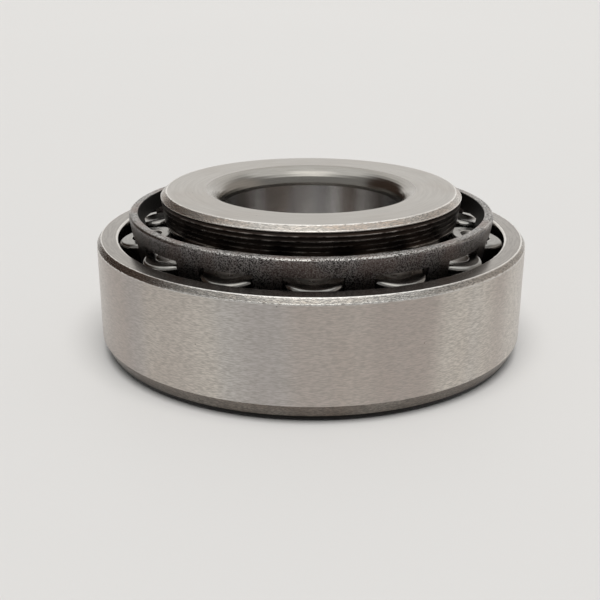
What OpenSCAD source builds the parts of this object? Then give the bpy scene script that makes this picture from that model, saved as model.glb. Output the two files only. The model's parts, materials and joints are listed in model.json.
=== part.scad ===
// Single-row tapered roller bearing: cup, cone, rollers and pressed-steel window cage.
// Millimetres and degrees. The bearing's axis is Z, and the cone's wide back face is up.
// The origin is the centre of the plane that the cup and the cone both stand on.
// All raceways and rollers are cones that meet in one apex on the axis, so they roll without slip.

/* [Cup] */
// Outside diameter of the cup
cup_d = 45.237; // [44.8:0.001:46]
// Width of the cup
cup_w = 12.065; // [11.8:0.005:12.4]
// Angle between the cup raceway and the axis
cup_angle = 11.31; // [10.8:0.01:11.8]
// Raceway radius at the cup's upper face
cup_lip_r = 20.4; // [20.3:0.01:20.5]
// Height of the chamfer at the cup's lower outer edge
cup_foot_h = 1.8; // [1:0.1:2]

/* [Cone] */
// Diameter of the bore
bore_d = 19.05; // [17:0.001:20]
// Width of the cone
cone_w = 16.637; // [16.4:0.001:17]
// Outside diameter of the large rib
rib_d = 31.7; // [31.4:0.1:32.2]
// Outside diameter of the small rib
small_rib_d = 27.4; // [27.2:0.1:27.6]
// Radius of the flared mouth at the bore's upper edge
flare_r = 2.1; // [1.5:0.05:2.4]
// How much narrower the large rib's radius is at its roller side
rib_taper = 0.35; // [0:0.05:0.4]
// Number of turned grooves around the large rib
rib_grooves = 5; // [3:1:9]

/* [Rollers] */
// Number of rollers
roller_count = 14; // [10:1:14]
// Diameter of a roller's large end
roller_d = 5.9; // [5.7:0.05:6]
// Length of a roller
roller_len = 10.2; // [9.8:0.1:10.3]
// Corner radius at a roller's large end
roller_round = 0.42; // [0.2:0.01:0.6]
// Radius of the dimple in a roller's large end
dimple_r = 1.55; // [1.2:0.05:2]
// Depth of that dimple
dimple_h = 0.5; // [0.2:0.05:0.7]
// Length of the straight stretch that relieves a roller's large end, its rounding included
roller_land = 0.7; // [0.65:0.05:1]
// Turn of the first roller from the -Y direction
first_roller_turn = 1; // [0:0.5:25]

/* [Cage] */
// Outside diameter of the cage's upper edge
cage_d = 38.52; // [38.4:0.02:38.6]
// Height of the cage's upper edge
cage_top = 14.56; // [14.3:0.02:14.8]
// Height of the cage's lower face
cage_foot = 0.55; // [0.4:0.05:0.7]
// Thickness of the cage's sheet
sheet = 1; // [0.8:0.05:1]
// Inside diameter of the cage's turned-in foot
cage_bore_d = 28.4; // [28.2:0.1:29.4]

/* [Clearances] */
// Gap between a roller and either raceway
running_gap = 0.04; // [0.03:0.01:0.06]
// Gap between a roller's large end and the large rib
rib_gap = 0.06; // [0.05:0.01:0.1]
// Gap between a roller and the sides of its pocket
pocket_gap = 0.12; // [0.08:0.01:0.16]

/* [Hidden] */
$fn = 144;
arc_step = 12;

cup_r = cup_d / 2;
bore_r = bore_d / 2;
rib_r = rib_d / 2;
small_rib_r = small_rib_d / 2;
cage_r = cage_d / 2;
cage_bore_r = cage_bore_d / 2;

// The rolling cones. A roller's large end reaches almost to the cup's upper face.
apex_z = cup_w - cup_lip_r / tan(cup_angle);
roller_below_face = 0.17;
roller_slant = (cup_w - roller_below_face - apex_z) / cos(cup_angle);
roller_half_angle = asin(roller_d / 2 / roller_slant);
axis_tilt = cup_angle - roller_half_angle;
cone_angle = cup_angle - 2 * roller_half_angle;
large_end_dist = roller_slant * cos(roller_half_angle);
small_end_dist = large_end_dist - roller_len;
small_end_r = small_end_dist * tan(roller_half_angle);
land_r = (large_end_dist - roller_land) * tan(roller_half_angle);
large_end = [large_end_dist * sin(axis_tilt), apex_z + large_end_dist * cos(axis_tilt)];
small_end = [small_end_dist * sin(axis_tilt), apex_z + small_end_dist * cos(axis_tilt)];
roller_pitch = 360 / roller_count;

// Edges of the cup
cup_foot_in = 0.9;
cup_foot_round = 0.8;
cup_top_in = 0.42;
cup_top_h = 0.55;
cup_lip_break = 0.12;
cup_throat_break = 0.4;

// Edges and reliefs of the cone
flare_start = 15;
flare_parts = 8;
bore_foot_round = 0.9;
back_edge_in = 0.63;
back_edge_h = 0.52;
cone_foot_edge = 0.8;
relief = 0.22;
relief_w = 0.5;
small_rib_gap = 0.3;
small_rib_round = 0.15;
relief_round = 0.1;
rib_edge_in = 0.35;
rib_edge_h = 0.75;
groove_depth = 0.03;
groove_parts = 4;

// Edges of the rollers and the cage
small_end_round = 0.3;
small_dimple_r = 1.3;
small_dimple_h = 0.3;
dimple_parts = 8;
cage_top_round = 0.35;
cage_edge_round = 0.12;
cage_bend = 0.5;
pocket_large_gap = 0.55;
pocket_small_gap = 0.3;

function roller_name(i) = str("roller_", i < 10 ? "0" : "", i);

// Radius of a raceway at height z. The running gap is taken square to the surface.
function cup_race_r(z) = (z - apex_z) * tan(cup_angle) + running_gap / cos(cup_angle);
function cone_race_r(z) = (z - apex_z) * tan(cone_angle) - running_gap / cos(cone_angle);

// Height of the two rib faces at radius r. They lie along the rollers' flat ends.
function rib_face_z(r) = large_end[1] + (large_end[0] - r) * tan(axis_tilt) + rib_gap / cos(axis_tilt);
function small_face_z(r) = small_end[1] + (small_end[0] - r) * tan(axis_tilt) - small_rib_gap / cos(axis_tilt);

// Outer radius of the cage's wall at height z
function cage_wall_r(z) = cage_r - (cage_top - z) * tan(axis_tilt);

function unit(v) = v / norm(v);
function turned(v, a) = [v[0] * cos(a) - v[1] * sin(a), v[0] * sin(a) + v[1] * cos(a)];

// Points of the arc of radius r that rounds the corner c between its neighbours p and q
function corner(p, c, q, r) =
    r == 0 ? [c] :
    let (
        u = unit(p - c),
        v = unit(q - c),
        half = acos(u * v) / 2,
        centre = c + unit(u + v) * r / sin(half),
        start = c + u * r / tan(half) - centre,
        sweep = (180 - 2 * half) * sign(cross(c - p, q - c)),
        parts = max(2, ceil(abs(sweep) / arc_step))
    )
    [for (k = [0 : parts]) centre + turned(start, sweep * k / parts)];

// A closed outline from corners given as [radius from the axis, height, rounding]
function outline(corners) =
    let (n = len(corners), at = [for (c = corners) [c[0], c[1]]])
    [for (i = [0 : n - 1]) each corner(at[(i + n - 1) % n], at[i], at[(i + 1) % n], corners[i][2])];

// The rib's outside: shallow turned grooves between sharp crests, from height z0 up to z1.
// The crests lie on a slight taper, which is widest at the top.
function grooved_rib(z0, z1) =
    [for (k = [0 : rib_grooves * groove_parts])
        let (
            t = k / groove_parts,
            across = 2 * (t - floor(t)) - 1,
            up = t / rib_grooves,
            crest_r = rib_r - rib_taper * (1 - up)
        )
        [crest_r - groove_depth * (1 - across * across), z0 + (z1 - z0) * up, 0]];

// The bore's flared mouth, from the back face, which it meets at the angle flare_start, down into the bore
function bore_flare() =
    [for (k = [0 : flare_parts])
        let (a = flare_start + (90 - flare_start) * k / flare_parts)
        [bore_r + flare_r * (1 - sin(a)), cone_w - flare_r * (cos(flare_start) - cos(a)), 0]];

// Point k of a round dimple of opening radius a and depth h, as [radius, depth], from its middle out
function dimple_point(a, h, k) =
    let (ball = (a * a + h * h) / (2 * h), t = asin(a / ball) * k / dimple_parts)
    [ball * sin(t), h - ball * (1 - cos(t))];

// Radius of a pocket at distance s from the roller's small end
function pocket_r(s) =
    (small_end_dist + s) * tan(roller_half_angle) + pocket_gap / cos(roller_half_angle);

module cup() {
    color([0.66, 0.63, 0.6])
        rotate_extrude()
            polygon(outline([
                [cup_race_r(cup_throat_break) + cup_throat_break, 0, 0],
                [cup_r - cup_foot_in, 0, cup_foot_round],
                [cup_r, cup_foot_h, 0],
                [cup_r, cup_w - cup_top_h, 0],
                [cup_r - cup_top_in, cup_w, 0],
                [cup_race_r(cup_w) + cup_lip_break, cup_w, 0],
                [cup_race_r(cup_w - cup_lip_break), cup_w - cup_lip_break, 0],
                [cup_race_r(cup_throat_break), cup_throat_break, 0]
            ]));
}

module cone() {
    low_r = cone_race_r(small_end[1]) - relief;
    low_z = small_face_z(low_r);
    high_r = cone_race_r(large_end[1]) - relief;
    high_z = rib_face_z(high_r);
    rib_face_r = rib_r - rib_taper - rib_edge_in;
    rib_z = rib_face_z(rib_face_r) + rib_edge_h;
    color([0.72, 0.7, 0.67])
        rotate_extrude()
            polygon(outline(concat(
                [
                    [bore_r, 0, bore_foot_round],
                    [small_rib_r - cone_foot_edge, 0, 0],
                    [small_rib_r, cone_foot_edge, 0],
                    [small_rib_r, small_face_z(small_rib_r), small_rib_round],
                    [low_r, low_z, relief_round],
                    [low_r, low_z + relief_w, 0],
                    [cone_race_r(low_z + relief_w + relief), low_z + relief_w + relief, 0],
                    [cone_race_r(high_z - relief_w - relief), high_z - relief_w - relief, 0],
                    [high_r, high_z - relief_w, 0],
                    [high_r, high_z, relief_round],
                    [rib_face_r, rib_face_z(rib_face_r), 0]
                ],
                grooved_rib(rib_z, cone_w - back_edge_h),
                [[rib_r - back_edge_in, cone_w, 0]],
                bore_flare()
            )));
}

// Carries its children from a roller's own frame, with +Z from the small end to the large one
module at_roller(i) {
    rotate([0, 0, first_roller_turn - 90 + roller_pitch * (i - 1)])
        translate([small_end[0], 0, small_end[1]])
            rotate([0, axis_tilt, 0])
                children();
}

module roller(i) {
    small_dimple = [for (k = [0 : dimple_parts]) dimple_point(small_dimple_r, small_dimple_h, k)];
    large_dimple = [for (k = [dimple_parts : -1 : 0]) dimple_point(dimple_r, dimple_h, k)];
    color([0.8, 0.8, 0.78])
        at_roller(i)
            rotate_extrude()
                polygon(outline(concat(
                    [for (p = small_dimple) [p[0], p[1], 0]],
                    [
                        [small_end_r, 0, small_end_round],
                        [land_r, roller_len - roller_land, 0],
                        [land_r, roller_len, roller_round]
                    ],
                    [for (p = large_dimple) [p[0], roller_len - p[1], 0]]
                )));
}

// A pocket is a roller with a gap all round, so its sides follow the roller and hold it in
module pocket() {
    low = -pocket_small_gap;
    high = roller_len + pocket_large_gap;
    translate([0, 0, low])
        cylinder(h = high - low, r1 = pocket_r(low), r2 = pocket_r(high));
}

module cage_shell() {
    wall_w = sheet / cos(axis_tilt);
    rotate_extrude()
        polygon(outline([
            [cage_bore_r, cage_foot, cage_edge_round],
            [cage_wall_r(cage_foot), cage_foot, cage_bend + sheet],
            [cage_r, cage_top, cage_top_round],
            [cage_r - wall_w, cage_top, cage_edge_round],
            [cage_wall_r(cage_foot + sheet) - wall_w, cage_foot + sheet, cage_bend],
            [cage_bore_r, cage_foot + sheet, cage_edge_round]
        ]));
}

module cage() {
    color([0.27, 0.26, 0.25])
        difference() {
            cage_shell();
            for (i = [1 : roller_count]) at_roller(i) pocket();
        }
}

cup();
cone();
cage();
for (i = [1 : roller_count]) roller(i);
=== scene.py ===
"""The looks of a tapered roller bearing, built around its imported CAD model.

The rings, the rollers and the cage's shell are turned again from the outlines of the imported
solids, in fine steps and with small rounded edges, and the cage's windows are cut again.
Sizes and places come from the frame. Lengths are metres, and the materials work in millimetres.
"""
import json
import math

import bmesh
import bpy
from mathutils import Matrix, Vector


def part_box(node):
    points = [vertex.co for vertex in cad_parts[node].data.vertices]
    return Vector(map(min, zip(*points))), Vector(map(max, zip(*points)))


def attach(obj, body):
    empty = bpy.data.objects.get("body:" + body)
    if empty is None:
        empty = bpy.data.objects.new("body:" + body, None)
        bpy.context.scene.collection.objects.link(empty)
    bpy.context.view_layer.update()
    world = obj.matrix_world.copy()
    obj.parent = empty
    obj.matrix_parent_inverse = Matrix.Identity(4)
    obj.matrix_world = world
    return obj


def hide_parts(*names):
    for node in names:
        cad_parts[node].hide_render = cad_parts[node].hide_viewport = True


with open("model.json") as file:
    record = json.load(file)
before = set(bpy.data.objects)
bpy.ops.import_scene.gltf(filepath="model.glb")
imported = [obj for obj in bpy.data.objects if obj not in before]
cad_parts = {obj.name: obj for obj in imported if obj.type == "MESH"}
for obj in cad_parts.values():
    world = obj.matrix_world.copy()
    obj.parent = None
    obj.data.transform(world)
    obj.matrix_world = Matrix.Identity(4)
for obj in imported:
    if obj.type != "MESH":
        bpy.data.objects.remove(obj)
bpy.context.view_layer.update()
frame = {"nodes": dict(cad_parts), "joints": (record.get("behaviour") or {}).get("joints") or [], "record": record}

MM = 0.001
UPRIGHT = Matrix.Identity(4)
JOINTS = {joint["name"]: joint for joint in frame["joints"]}
ROLLERS = sorted(node for node in frame["nodes"] if node.startswith("roller_"))


# ---------------------------------------------------------------- short ways to build node trees

def add(tree, kind, inputs=None, **settings):
    """A new node. A value of inputs is an output to link from, or a number or colour to set."""
    node = tree.nodes.new(kind)
    for key, value in settings.items():
        setattr(node, key, value)
    for key, value in (inputs or {}).items():
        if isinstance(value, bpy.types.NodeSocket):
            tree.links.new(value, node.inputs[key])
        elif node.inputs[key].type == "RGBA":
            node.inputs[key].default_value = (*value, 1)
        else:
            node.inputs[key].default_value = value
    return node


def calc(tree, operation, a, b=0.0, c=0.0):
    return add(tree, "ShaderNodeMath", {0: a, 1: b, 2: c}, operation=operation).outputs[0]


def scaled(tree, vector, factors):
    return add(tree, "ShaderNodeVectorMath", {0: vector, 1: factors}, operation="MULTIPLY").outputs[0]


def smooth(tree, value, low, high, to_low=0.0, to_high=1.0):
    """Turns value smoothly from to_low at low into to_high at high."""
    inputs = {"Value": value, "From Min": low, "From Max": high, "To Min": to_low, "To Max": to_high}
    return add(tree, "ShaderNodeMapRange", inputs, interpolation_type="SMOOTHSTEP").outputs[0]


def blend(tree, factor, a, b):
    """Colour a where factor is 0, and b where it is 1."""
    # Inputs 6 and 7 and output 2 are the Mix node's sockets for colours
    return add(tree, "ShaderNodeMix", {0: factor, 6: a, 7: b}, data_type="RGBA").outputs[2]


def shaded(colour, factor):
    """The colour with each channel times factor."""
    return tuple(channel * factor for channel in colour)


def noise(tree, vector, scale, detail=2.0, w=None):
    """Noise from 0 to 1 with scale features in each unit of vector, and of w where it is given."""
    inputs = {"Vector": vector, "Scale": scale, "Detail": detail}
    if w is not None:
        inputs["W"] = w
    return add(tree, "ShaderNodeTexNoise", inputs, noise_dimensions="3D" if w is None else "4D").outputs[0]


def specks(tree, vector, spacing, size):
    """1 in scattered round specks of that size, about spacing apart, and 0 elsewhere."""
    cells = add(tree, "ShaderNodeTexVoronoi", {"Vector": vector, "Scale": 1 / spacing})
    return smooth(tree, cells.outputs["Distance"], size / spacing, 0.5 * size / spacing)


def millimetres(tree):
    """The place on the piece in millimetres, in its own frame, where Z is the axis it turns about."""
    place = add(tree, "ShaderNodeTexCoord").outputs["Object"]
    return add(tree, "ShaderNodeVectorMath", {0: place, "Scale": 1 / MM}, operation="SCALE").outputs[0]


def lathe_grain(tree, place, along, across, detail=2.0):
    """Noise drawn out around the axis: along and across are its features in each millimetre."""
    split = add(tree, "ShaderNodeSeparateXYZ", {0: place}).outputs
    square = calc(tree, "MULTIPLY", split[0], split[0])
    radius = calc(tree, "SQRT", calc(tree, "MULTIPLY_ADD", split[1], split[1], square))
    stretched = scaled(tree, place, (along, along, across))
    return noise(tree, stretched, 1.0, detail, calc(tree, "MULTIPLY", radius, across))


def edge_wear(tree):
    """The wear that turned() stores on each point: 1 on a keen edge, and 0 on a flat."""
    return add(tree, "ShaderNodeAttribute", attribute_name="wear").outputs["Fac"]


def bump(tree, height, depth, normal=None):
    """The normal of a surface with that height, from 0 to 1, times depth in millimetres."""
    inputs = {"Height": height, "Distance": depth * MM}
    if normal is not None:
        inputs["Normal"] = normal
    return add(tree, "ShaderNodeBump", inputs).outputs[0]


def principled(name, **constants):
    """A new material, its node tree and its shader's inputs. The constants are set on the shader itself."""
    material = bpy.data.materials.new(name)
    material.use_nodes = True
    shader = material.node_tree.nodes["Principled BSDF"]
    for key, value in constants.items():
        shader.inputs[key.replace("_", " ")].default_value = value
    return material, material.node_tree, shader.inputs


# ---------------------------------------------------------------- camera, floor and light

CAMERA_PLACE = (0, -101.1 * MM, 40.2 * MM)
CAMERA_DOWN = math.radians(19.77)
CAMERA_LEFT = math.radians(0.64)
CAMERA_ROLL = math.radians(0.14)
CAMERA_LENS = 58.3
CAMERA_SENSOR = 36

FLOOR_HALF = 3.0
FLOOR_SINK = 0.01 * MM

KEY_ENERGY = 2.9
KEY_SPREAD = math.radians(45)
KEY_COLOUR = (1.0, 0.99, 0.98)
KEY_TOWARDS = Vector((-0.04, 0.3, -1))

BACKDROP = (0.68, 0.675, 0.655)
GLOW = (0.3, 0.3, 0.297)
WALL = (0.32, 0.315, 0.305)
# Each screen is its direction, the angles in degrees where it is full and where it has faded out,
# and its colour
SCREENS = [
    ((0, 1, 0.35), 25, 60, (0.9, 0.88, 0.85)),
    ((0.04, -0.05, 1), 34, 48, (1.05, 1.05, 1.03)),
    ((0, -0.45, 1), 6, 26, (1.7, 1.68, 1.62)),
    ((1, 0.3, 0.1), 20, 45, (0.5, 0.465, 0.43)),
    ((-0.9, 0.42, 0.15), 30, 42, (0.06, 0.04, 0.03)),
]


def make_camera():
    data = bpy.data.cameras.new("camera")
    data.sensor_width = CAMERA_SENSOR
    data.lens = CAMERA_LENS
    data.clip_start = 1 * MM
    camera = bpy.data.objects.new("camera", data)
    bpy.context.scene.collection.objects.link(camera)
    aim = Matrix.Rotation(CAMERA_LEFT, 4, "Z")
    aim @= Matrix.Rotation(math.pi / 2 - CAMERA_DOWN, 4, "X")
    aim @= Matrix.Rotation(CAMERA_ROLL, 4, "Z")
    camera.matrix_world = Matrix.Translation(CAMERA_PLACE) @ aim
    bpy.context.scene.camera = camera


def floor_paint():
    material, tree, shader = principled("floor_paint", Roughness=0.6)
    place = add(tree, "ShaderNodeTexCoord").outputs["Object"]
    cloud = noise(tree, place, 3.0, 2.0)
    base = blend(tree, cloud, (0.62, 0.614, 0.604), (0.64, 0.634, 0.624))
    tree.links.new(base, shader["Base Color"])
    tree.links.new(bump(tree, noise(tree, place, 4000.0, 2.0), 0.003), shader["Normal"])
    return material


def make_floor():
    mesh = bmesh.new()
    bmesh.ops.create_grid(mesh, x_segments=1, y_segments=1, size=FLOOR_HALF)
    data = bpy.data.meshes.new("floor")
    mesh.to_mesh(data)
    mesh.free()
    data.materials.append(floor_paint())
    floor = bpy.data.objects.new("floor", data)
    floor.location.z = -FLOOR_SINK
    bpy.context.scene.collection.objects.link(floor)


def studio_world():
    """Grey walls, bright behind and overhead, with a pale screen to the right and a dark one to the left.

    They show only as reflections. The floor gets a plain glow, and the camera sees a plain pale wall.
    """
    world = bpy.data.worlds.new("studio")
    world.use_nodes = True
    tree = world.node_tree
    way = add(tree, "ShaderNodeTexCoord").outputs["Generated"]
    colour = WALL
    for towards, inner, outer, tint in SCREENS:
        inputs = {0: way, 1: Vector(towards).normalized()}
        closeness = add(tree, "ShaderNodeVectorMath", inputs, operation="DOT_PRODUCT").outputs["Value"]
        faded, full = math.cos(math.radians(outer)), math.cos(math.radians(inner))
        colour = blend(tree, smooth(tree, closeness, faded, full), colour, tint)
    ray = add(tree, "ShaderNodeLightPath").outputs
    colour = blend(tree, ray["Is Diffuse Ray"], colour, GLOW)
    colour = blend(tree, ray["Is Camera Ray"], colour, BACKDROP)
    tree.links.new(colour, tree.nodes["Background"].inputs["Color"])
    bpy.context.scene.world = world


def key_light():
    """A broad soft light from high up in front, as even as a light tent's. Metal doesn't mirror it."""
    data = bpy.data.lights.new("key", "SUN")
    data.energy = KEY_ENERGY
    data.angle = KEY_SPREAD
    data.color = KEY_COLOUR
    light = bpy.data.objects.new("key", data)
    light.rotation_euler = KEY_TOWARDS.to_track_quat("-Z", "Y").to_euler()
    light.visible_glossy = False
    bpy.context.scene.collection.objects.link(light)


# ---------------------------------------------------------------- materials

STEEL = (0.56, 0.54, 0.51)
STEEL_WARM = (0.50, 0.46, 0.42)
# The cool tint of the painted reflections
COOL_REFLECTION = (0.53, 0.552, 0.58)
PIT = (0.03, 0.028, 0.025)

# How far each effect of machined() goes, unless a material says otherwise
PLAIN_LOOK = {
    "aniso": 0.5,  # how far the reflections are drawn out across the grain
    "streak": 1.0,  # broad streaks along the grain
    "contrast": 0.3,  # dark lines of the fine grain
    "grit": 0.0,  # short dark scores
    "grit_scale": 9.0,  # how fine those are
    "scratch": 0.0,  # height of the scratches, in millimetres
    "wavy": 0.0,  # height of the slow waves, in millimetres
    "bands": 0.0,  # upright bands of band_colour, painted reflections of the room
    "band_colour": (0.3, 0.27, 0.25),
    "band_scale": 0.3,  # features of the bands in each millimetre
    "band_pattern": None,  # a number picks another pattern of bands
    "cool": 0.0,  # cool upright patches among them, painted reflections of cool light
    "worn": (0.62, 0.6, 0.57),  # colour of the worn edges, and of the rib's painted glints
    "kept": 1.0,  # how much of the skin is kept at the edges
    "ragged": 3.0,  # how fine the edge of the wear is
}


def banded(tree, place, base, look):
    """The base colour with the look's broad upright bands and cool patches, painted reflections of the room."""
    upright = scaled(tree, place, (1, 1, 0.1))
    band = noise(tree, upright, look["band_scale"], 1.0, look["band_pattern"])
    base = blend(tree, smooth(tree, band, 0.35, 0.65, 0.0, look["bands"]), base, look["band_colour"])
    cool_patch = noise(tree, upright, 0.8 * look["band_scale"], 1.0)
    return blend(tree, smooth(tree, cool_patch, 0.5, 0.35, 0.0, look["cool"]), base, COOL_REFLECTION)


def scratched(tree, place, depth, normal):
    """The normal with patches of slanting scratches of that depth in millimetres."""
    slant = {"Vector": place, "Rotation": (0.5, 0.4, 0.9), "Scale": (0.25, 7, 7)}
    lines = noise(tree, add(tree, "ShaderNodeMapping", slant).outputs[0], 1.0, 1.0)
    patch = smooth(tree, noise(tree, place, 0.2, 1.0), 0.45, 0.6)
    return bump(tree, calc(tree, "MULTIPLY", smooth(tree, lines, 0.62, 0.7), patch), depth, normal)


def machined(name, colour, stained, rough, grain, depth, **look):
    """Steel with the fine lines of turning or grinding round its axis.

    grain is (along, across) in features a millimetre, and depth is the lines' height in
    millimetres. Stains shift the colour to stained, and worn edges show brighter steel, which
    on the cone's rib paints glints.
    """
    look = {**PLAIN_LOOK, **look}
    material, tree, shader = principled(
        name, Metallic=1.0, Anisotropic=look["aniso"], Anisotropic_Rotation=0.25
    )
    place = millimetres(tree)
    fine = lathe_grain(tree, place, *grain)
    streaks = lathe_grain(tree, place, grain[0] / 6, grain[1] / 4, 3.0)
    cloud = noise(tree, place, 0.16, 3.0)
    grit = lathe_grain(tree, place, 0.4 * look["grit_scale"], 1.4 * look["grit_scale"])
    pitted = specks(tree, place, 1.8, 0.07)
    torn = calc(tree, "SUBTRACT", edge_wear(tree), look["kept"])
    torn = calc(tree, "MULTIPLY_ADD", noise(tree, place, look["ragged"], 3.0), 0.9, torn)
    edge = smooth(tree, torn, 0.1, 0.45)

    stain = calc(tree, "MULTIPLY_ADD", streaks, 0.5 * look["streak"], calc(tree, "MULTIPLY", cloud, 0.9))
    base = blend(tree, smooth(tree, stain, 0.45, 0.95), colour, stained)
    # Painted reflections: upright bands and cool patches
    if look["bands"]:
        base = banded(tree, place, base, look)
    base = blend(tree, smooth(tree, fine, 0.4, 0.6, 0.0, look["contrast"]), base, shaded(colour, 0.5))
    base = blend(tree, smooth(tree, grit, 0.43, 0.6, 0.0, look["grit"]), base, shaded(colour, 0.35))
    base = blend(tree, calc(tree, "MULTIPLY", pitted, 0.7), base, PIT)
    tree.links.new(blend(tree, edge, base, look["worn"]), shader["Base Color"])

    dull = calc(tree, "MULTIPLY_ADD", streaks, 0.12 * look["streak"], rough - 0.05 - 0.06 * look["streak"])
    dull = calc(tree, "MULTIPLY_ADD", fine, 0.1, dull)
    dull = calc(tree, "MULTIPLY_ADD", edge, -0.08, dull)
    tree.links.new(dull, shader["Roughness"])

    normal = bump(tree, fine, depth)
    normal = bump(tree, streaks, depth * 1.5 * look["streak"], normal)
    normal = bump(tree, grit, 0.04 * look["grit"], normal)
    if look["wavy"]:
        normal = bump(tree, noise(tree, place, 0.8, 2.0), look["wavy"], normal)
    if look["scratch"]:
        normal = scratched(tree, place, look["scratch"], normal)
    tree.links.new(normal, shader["Normal"])
    tangent = add(tree, "ShaderNodeTangent", direction_type="RADIAL", axis="Z")
    tree.links.new(tangent.outputs[0], shader["Tangent"])
    return material


def sheet_steel(name, colour, bright, rough, grit, share):
    """Dark pressed sheet with a gritty skin, which is worn through to bright steel in places. On the
    cage's top edge this also paints a highlight.

    grit is the skin's height in millimetres, and share says how much of it is worn through.
    """
    material, tree, shader = principled(name, Metallic=1.0)
    place = millimetres(tree)
    skin = noise(tree, place, 8.0, 3.0)
    cloud = noise(tree, place, 0.35, 3.0)
    lift = calc(tree, "MULTIPLY_ADD", edge_wear(tree), 0.25, calc(tree, "MULTIPLY_ADD", cloud, 0.35, skin))
    through = smooth(tree, lift, 0.95 - share, 1.05 - share)
    base = blend(tree, smooth(tree, skin, 0.4, 0.6), shaded(colour, 0.25), shaded(colour, 2.4))
    rusty = (colour[0] * 1.3, colour[1], colour[2] * 0.9)
    base = blend(tree, smooth(tree, cloud, 0.4, 0.7, 0.0, 0.5), base, rusty)
    tree.links.new(blend(tree, through, base, bright), shader["Base Color"])
    dull = calc(tree, "MULTIPLY_ADD", skin, 0.3, rough - 0.15)
    tree.links.new(calc(tree, "MULTIPLY_ADD", through, -0.15, dull), shader["Roughness"])
    tree.links.new(bump(tree, skin, grit), shader["Normal"])
    return material


# ---------------------------------------------------------------- outlines of the CAD solids

# Points of an outline are rounded to this
SAME_PLACE = 2e-7
# Anything smaller than this counts as nothing: a distance from the axis, or a bulge in a straight run
STRAIGHT = 2e-6
# Corners that turn more than this are rounded, and those that turn more than the next are fully worn
SHARP_TURN = math.radians(16)
WORN_TURN = math.radians(40)
# How far a rounded corner reaches, the largest share of a run that it may take, and its steps
EASE = 0.06 * MM
EASE_SHARE = 0.4
EDGE_STEPS = 4
# Where the extra points of a long run lie, and how much longer than that a long run is.
# Wear fades out at the second.
BRACE = 0.04 * MM
FADE = 0.22 * MM
LONG_RUN = 2.5


def section(node, place):
    """The outline of a CAD node in the half-plane of X and Z of the frame place, where X is 0 or more.

    It is a list of Vector((radius, height)), counter-clockwise, and whether it is closed. A
    ring's outline is closed, and that of a solid across the axis runs from the axis to the axis.
    """
    mesh = frame["nodes"][node].data
    to_place = place.inverted()
    at = [to_place @ v.co for v in mesh.vertices]
    joined = {}
    for face in mesh.polygons:
        cuts = []
        for a, b in zip(face.vertices, [*face.vertices[1:], face.vertices[0]]):
            p, q = sorted((at[a], at[b]), key=tuple)
            if (p.y > STRAIGHT / 2) != (q.y > STRAIGHT / 2):
                cut = p.lerp(q, (p.y - STRAIGHT / 2) / (p.y - q.y))
                if cut.x > -STRAIGHT:
                    cuts.append((round(max(cut.x, 0) / SAME_PLACE), round(cut.z / SAME_PLACE)))
        if len(cuts) == 2 and cuts[0] != cuts[1]:
            joined.setdefault(cuts[0], []).append(cuts[1])
            joined.setdefault(cuts[1], []).append(cuts[0])
    ends = [k for k, near in joined.items() if len(near) == 1]
    path = [min(ends or joined)]
    seen = set(path)
    while True:
        ahead = [k for k in joined[path[-1]] if k not in seen]
        if not ahead:
            break
        path.append(ahead[0])
        seen.add(ahead[0])
    points = [Vector(k) * SAME_PLACE for k in path]
    area = sum(p.cross(q) for p, q in zip(points, [*points[1:], points[0]]))
    return straightened(points if area > 0 else points[::-1], not ends), not ends


def straightened(points, closed):
    """The outline without the points that lie on a straight run."""
    kept = list(points)
    i = 0
    while i < len(kept):
        p, c, q = kept[i - 1], kept[i], kept[(i + 1) % len(kept)]
        inner = closed or 0 < i < len(kept) - 1
        if inner and abs((q - p).normalized().cross(c - p)) < STRAIGHT / 2:
            del kept[i]
            i = max(i - 2, 0)
        else:
            i += 1
    return kept


def eased(points, closed):
    """[(point, wear)] with the sharp corners rounded. wear is 1 on a keen edge, and 0 on a flat."""
    profile = []
    for i, c in enumerate(points):
        p, q = points[i - 1], points[(i + 1) % len(points)]
        half = (p - c).angle(q - c) / 2
        bend = math.pi - 2 * half
        inner = closed or 0 < i < len(points) - 1
        if not inner or bend < SHARP_TURN:
            profile.append((c, 0.0))
            continue
        reach = min(EASE, EASE_SHARE * (p - c).length, EASE_SHARE * (q - c).length)
        u, v = (p - c).normalized(), (q - c).normalized()
        centre = c + (u + v).normalized() * reach / math.cos(half)
        start, end = c + u * reach - centre, c + v * reach - centre
        for k in range(EDGE_STEPS + 1):
            arm = start.lerp(end, k / EDGE_STEPS).normalized() * start.length
            profile.append((centre + arm, min(bend / WORN_TURN, 1.0)))
    return profile


def braced(profile, closed):
    """The profile with extra points near the ends of its long runs, so that flats shade flat."""
    rows = []
    for i, (a, wear_a) in enumerate(profile):
        rows.append((a, wear_a))
        if i + 1 == len(profile) and not closed:
            break
        b, wear_b = profile[(i + 1) % len(profile)]
        run = (b - a).length
        steps = [d for d in (BRACE, FADE) if LONG_RUN * d < run]
        steps = steps + [run - d for d in reversed(steps)]
        for d in steps:
            worn = max(wear_a * (1 - d / FADE), wear_b * (1 - (run - d) / FADE), 0)
            rows.append((a.lerp(b, d / run), worn))
    return rows


# ---------------------------------------------------------------- solids turned from outlines

# Limits for telling surfaces apart by the part of their unit normal that lies along one axis
SLIGHT = 0.1
MAIN = 0.5
WHOLE = 0.999


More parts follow.
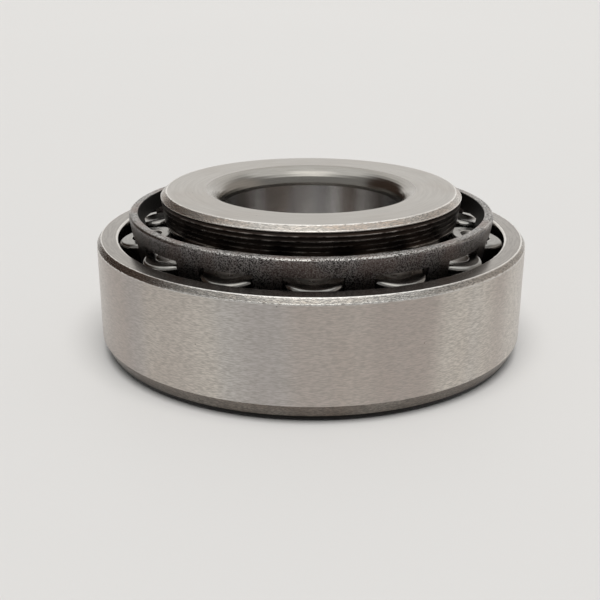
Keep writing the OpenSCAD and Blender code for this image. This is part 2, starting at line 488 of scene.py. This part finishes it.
def turned(name, node, place, segments, materials, finish):
    """A solid of revolution about the Z of place, with the outline of a CAD node there.

    materials gives each finish its material, and finish(point, normal) names the finish at a
    point of the outline, from its place and the outward normal there, as Vector((radius, height)).
    """
    points, closed = section(node, place)
    profile = braced(eased(points, closed), closed)
    finishes = list(materials)
    mesh = bmesh.new()
    wear = mesh.verts.layers.float.new("wear")
    turns = [2 * math.pi * k / segments for k in range(segments)]
    rings = []
    for point, worn in profile:
        ring = []
        for turn in turns if point.x > STRAIGHT else turns[:1]:
            vert = mesh.verts.new((point.x * math.cos(turn), point.x * math.sin(turn), point.y))
            vert[wear] = worn
            ring.append(vert)
        rings.append(ring)
    count = len(rings) if closed else len(rings) - 1
    for i in range(count):
        low, high = rings[i], rings[(i + 1) % len(rings)]
        a, b = profile[i][0], profile[(i + 1) % len(rings)][0]
        along = (b - a).normalized()
        index = finishes.index(finish((a + b) / 2, Vector((along.y, -along.x))))
        for j in range(segments):
            k = (j + 1) % segments
            corners = [low[j % len(low)], low[k % len(low)], high[k % len(high)], high[j % len(high)]]
            face = mesh.faces.new(list(dict.fromkeys(corners)))
            face.smooth = True
            face.material_index = index
    data = bpy.data.meshes.new(name)
    mesh.to_mesh(data)
    mesh.free()
    for material in materials.values():
        data.materials.append(material)
    piece = bpy.data.objects.new(name, data)
    bpy.context.scene.collection.objects.link(piece)
    piece.matrix_world = place
    return piece


def installed(piece, node):
    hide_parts(node)
    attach(piece, node)


def axis_frame(joint):
    """The frame of a tilted joint: Z along its axis, and X square to that, away from the bearing's."""
    place = Vector(joint["pos_m"])
    z = Vector(joint["axis"]).normalized()
    outward = Vector((place.x, place.y, 0))
    x = (outward - outward.dot(z) * z).normalized()
    turn = Matrix((x, z.cross(x), z)).transposed().to_4x4()
    return Matrix.Translation(place) @ turn


# ---------------------------------------------------------------- the cup

CUP_SIDES = 360
CUP_SKIN = 0.2 * MM
# Below this height the cup's foot is near-black: a painted contact shadow
PAINTED_SHADOW_HEIGHT = 0.6 * MM


def cup_materials():
    return {
        # Its upright dark bands and cool patches are painted reflections of the room
        "outside": machined(
            "cup_outside", (0.68, 0.634, 0.58), (0.57, 0.503, 0.446), 0.34, (1.8, 18.0), 0.003,
            aniso=0.6, streak=0.25, contrast=0.6, scratch=0.006,
            bands=0.8, band_colour=(0.46, 0.395, 0.365), band_scale=0.13, band_pattern=2.0, cool=0.35,
        ),
        "face": machined(
            "cup_face", (0.34, 0.322, 0.3), (0.325, 0.3, 0.27), 0.2, (0.6, 7.0), 0.0006,
            aniso=0.0, streak=0.2,
        ),
        "chamfer": machined(
            "cup_chamfer", (0.72, 0.7, 0.67), (0.46, 0.4, 0.34), 0.26, (1.4, 6.0), 0.005,
            aniso=0.2, contrast=0.55, grit=0.75, grit_scale=9.0, worn=(0.85, 0.83, 0.8),
        ),
        "raceway": machined("cup_raceway", STEEL, STEEL_WARM, 0.14, (0.5, 9.0), 0.0005, aniso=0.4),
        # The foot's dark brown is partly its unground finish and partly painted shade of the shadowed floor it
        # mirrors
        "foot": machined(
            "cup_foot", (0.3, 0.274, 0.244), (0.22, 0.18, 0.152), 0.36, (2.0, 5.0), 0.004,
            aniso=0.2, contrast=0.5, grit=0.6, kept=1.6,
        ),
        # Painted contact shadow along the bottom edge
        "toe": machined(
            "cup_toe_painted_shadow", (0.02, 0.018, 0.016), (0.012, 0.01, 0.009), 0.3, (2.0, 5.0), 0.002,
            aniso=0.0, kept=2.0,
        ),
    }


def make_cup():
    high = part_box("cup")[1]

    def finish(point, normal):
        if normal.x < -MAIN:
            return "raceway"
        if abs(normal.x) < SLIGHT:
            return "face"
        if point.x > high.x - CUP_SKIN and abs(normal.y) < SLIGHT:
            return "outside"
        if normal.y > 0:
            return "chamfer"
        return "toe" if point.y < PAINTED_SHADOW_HEIGHT else "foot"

    piece = turned("cup_turned", "cup", UPRIGHT, CUP_SIDES, cup_materials(), finish)
    installed(piece, "cup")


# ---------------------------------------------------------------- the cone

CONE_SIDES = 320
RIB_DEPTH = 0.6 * MM


def cone_materials():
    return {
        "face": machined(
            "cone_face", (0.49, 0.472, 0.446), (0.44, 0.405, 0.37), 0.32, (0.3, 5.0), 0.0008,
            aniso=0.2, streak=0.3, contrast=0.12, scratch=0.004,
        ),
        # The bore's near-white steel is painted light in its shaded inside, and its bands and cool patches are
        # painted reflections
        "bore": machined(
            "cone_bore", (0.95, 0.945, 0.94), (0.85, 0.84, 0.83), 0.24, (0.6, 8.0), 0.0004,
            aniso=0.3, streak=0.1, contrast=0.2, bands=0.8, band_colour=(0.42, 0.37, 0.34), cool=0.5,
        ),
        "chamfer": machined(
            "cone_chamfer", (0.78, 0.75, 0.71), (0.52, 0.41, 0.33), 0.28, (1.4, 6.0), 0.005,
            aniso=0.2, contrast=0.55, grit=0.75, grit_scale=9.0, worn=(0.85, 0.83, 0.8),
        ),
        # The rib's near-black steel is painted shade, and its bright crest lines, with little skin kept, are
        # painted glints
        "rib": machined(
            "cone_rib_shade_and_glints", (0.06, 0.05, 0.046), (0.1, 0.07, 0.055), 0.34, (0.5, 6.0), 0.002,
            aniso=0.2, kept=0.7, ragged=0.9, worn=(0.75, 0.69, 0.64),
        ),
        "raceway": machined("cone_raceway", STEEL, STEEL_WARM, 0.14, (0.5, 9.0), 0.0005, aniso=0.4),
        "mouth": machined(
            "cone_mouth", (0.4, 0.385, 0.36), (0.36, 0.335, 0.3), 0.2, (0.5, 6.0), 0.0003,
            aniso=0.0, streak=0.0, contrast=0.12,
        ),
    }


def make_cone():
    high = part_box("cone")[1]
    bore_mount = next(mount for mount in frame["record"]["mounts"] if mount["name"] == "bore")
    half_way = (high.x + bore_mount["dims"]["r_mm"] * MM) / 2

    def finish(point, normal):
        if abs(normal.x) < SLIGHT:
            return "face"
        if point.x < half_way and normal.x < 0:
            return "bore" if normal.x < -WHOLE else "mouth"
        if normal.x > 0 and normal.y > MAIN:
            return "chamfer"
        if point.x > high.x - RIB_DEPTH:
            return "rib"
        return "raceway"

    piece = turned("cone_turned", "cone", UPRIGHT, CONE_SIDES, cone_materials(), finish)
    installed(piece, "cone")


# ---------------------------------------------------------------- the rollers

ROLLER_SIDES = 96
DIMPLE_REACH = 2 * MM
FLAT_END = 0.05


def roller_materials():
    return {
        # The rollers' steel is darker than the rings', partly as painted shade of the cage over them
        "body": machined(
            "roller_body", (0.42, 0.41, 0.4), (0.25, 0.235, 0.22), 0.15, (0.6, 9.0), 0.0004,
            aniso=0.4, streak=0.4, wavy=0.03,
        ),
        "end": machined(
            "roller_end", (0.36, 0.355, 0.34), (0.2, 0.185, 0.17), 0.2, (0.8, 8.0), 0.0012,
            aniso=0.3, streak=0.5, wavy=0.04,
        ),
        "dimple": machined(
            "roller_dimple", (0.36, 0.35, 0.34), STEEL_WARM, 0.3, (1.0, 3.0), 0.004, aniso=0.1
        ),
    }


def make_rollers():
    materials = roller_materials()

    def finish(point, normal):
        if abs(normal.y) < MAIN:
            return "body"
        return "end" if abs(normal.x) < FLAT_END or point.x > DIMPLE_REACH else "dimple"

    for node in ROLLERS:
        place = axis_frame(JOINTS[node + "_spin"])
        piece = turned(node + "_turned", node, place, ROLLER_SIDES, materials, finish)
        installed(piece, node)


# ---------------------------------------------------------------- the cage

CAGE_SIDES = 336
RIM_DEPTH = 0.02 * MM
RIM_LEVEL = 0.95
WORN_DEPTH = 0.4 * MM
WORN_LEVEL = 0.45
# The gaps are those of the CAD cage's pockets
WINDOW_SIDE_GAP = 0.12 * MM
WINDOW_SMALL_GAP = 0.3 * MM
WINDOW_LARGE_GAP = 0.55 * MM
WINDOW_SIDES = 96
SHARP_EDGE = math.radians(30)


def cage_materials():
    return {
        "sheet": sheet_steel("cage_sheet", (0.13, 0.122, 0.12), (0.55, 0.53, 0.51), 0.36, 0.04, 0.06),
        "rim": sheet_steel("cage_rim", (0.25, 0.245, 0.24), (0.4, 0.39, 0.37), 0.45, 0.008, 0.0),
        # The top edge's bright worn-through steel is partly wear and partly a painted highlight along the edge
        "edge": sheet_steel("cage_edge_wear_and_highlight", (0.19, 0.18, 0.175), (0.6, 0.59, 0.57), 0.36, 0.012, 0.3),
        # The inside wall's near-black is painted shade
        "inside": sheet_steel("cage_inside_painted_shade", (0.015, 0.014, 0.013), (0.3, 0.28, 0.26), 0.5, 0.012, 0.0),
    }


def window_cutter(roller):
    """A cone about a roller's axis, with the gaps that the cage's window leaves round the roller."""
    place = axis_frame(JOINTS[roller + "_spin"])
    points, _ = section(roller, place)
    small, large = max(zip(points, points[1:]), key=lambda run: (run[1] - run[0]).length)
    slope = (large.x - small.x) / (large.y - small.y)
    low = min(p.y for p in points) - WINDOW_SMALL_GAP
    high = max(p.y for p in points) + WINDOW_LARGE_GAP
    radii = [small.x + slope * (z - small.y) + WINDOW_SIDE_GAP for z in (low, high)]
    mesh = bmesh.new()
    bmesh.ops.create_cone(
        mesh, cap_ends=True, segments=WINDOW_SIDES, radius1=radii[0], radius2=radii[1], depth=high - low
    )
    data = bpy.data.meshes.new("window_cutter")
    mesh.to_mesh(data)
    mesh.free()
    cutter = bpy.data.objects.new("window_cutter", data)
    bpy.context.scene.collection.objects.link(cutter)
    cutter.matrix_world = place @ Matrix.Translation((0, 0, (low + high) / 2))
    return cutter


def cut(piece, cutter):
    """Cuts the cutter's solid out of the piece's mesh, and deletes the cutter."""
    modifier = piece.modifiers.new("cut", "BOOLEAN")
    modifier.operation = "DIFFERENCE"
    modifier.solver = "MANIFOLD"
    modifier.object = cutter
    bpy.context.view_layer.update()
    whole = bpy.data.meshes.new_from_object(piece.evaluated_get(bpy.context.evaluated_depsgraph_get()))
    piece.modifiers.clear()
    piece.data = whole
    bpy.data.objects.remove(cutter)


def make_cage():
    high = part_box("cage")[1]

    def finish(point, normal):
        if point.y > high.z - RIM_DEPTH and normal.y > RIM_LEVEL:
            return "rim"
        if point.y > high.z - WORN_DEPTH and normal.y > WORN_LEVEL and normal.x > 0:
            return "edge"
        return "inside" if normal.x < -MAIN else "sheet"

    piece = turned("cage_pressed", "cage", UPRIGHT, CAGE_SIDES, cage_materials(), finish)
    for roller in ROLLERS:
        cut(piece, window_cutter(roller))
    piece.data.set_sharp_from_angle(angle=SHARP_EDGE)
    installed(piece, "cage")


make_camera()
make_floor()
studio_world()
key_light()
bpy.context.scene.view_settings.view_transform = "Standard"
make_cup()
make_cone()
make_rollers()
make_cage()
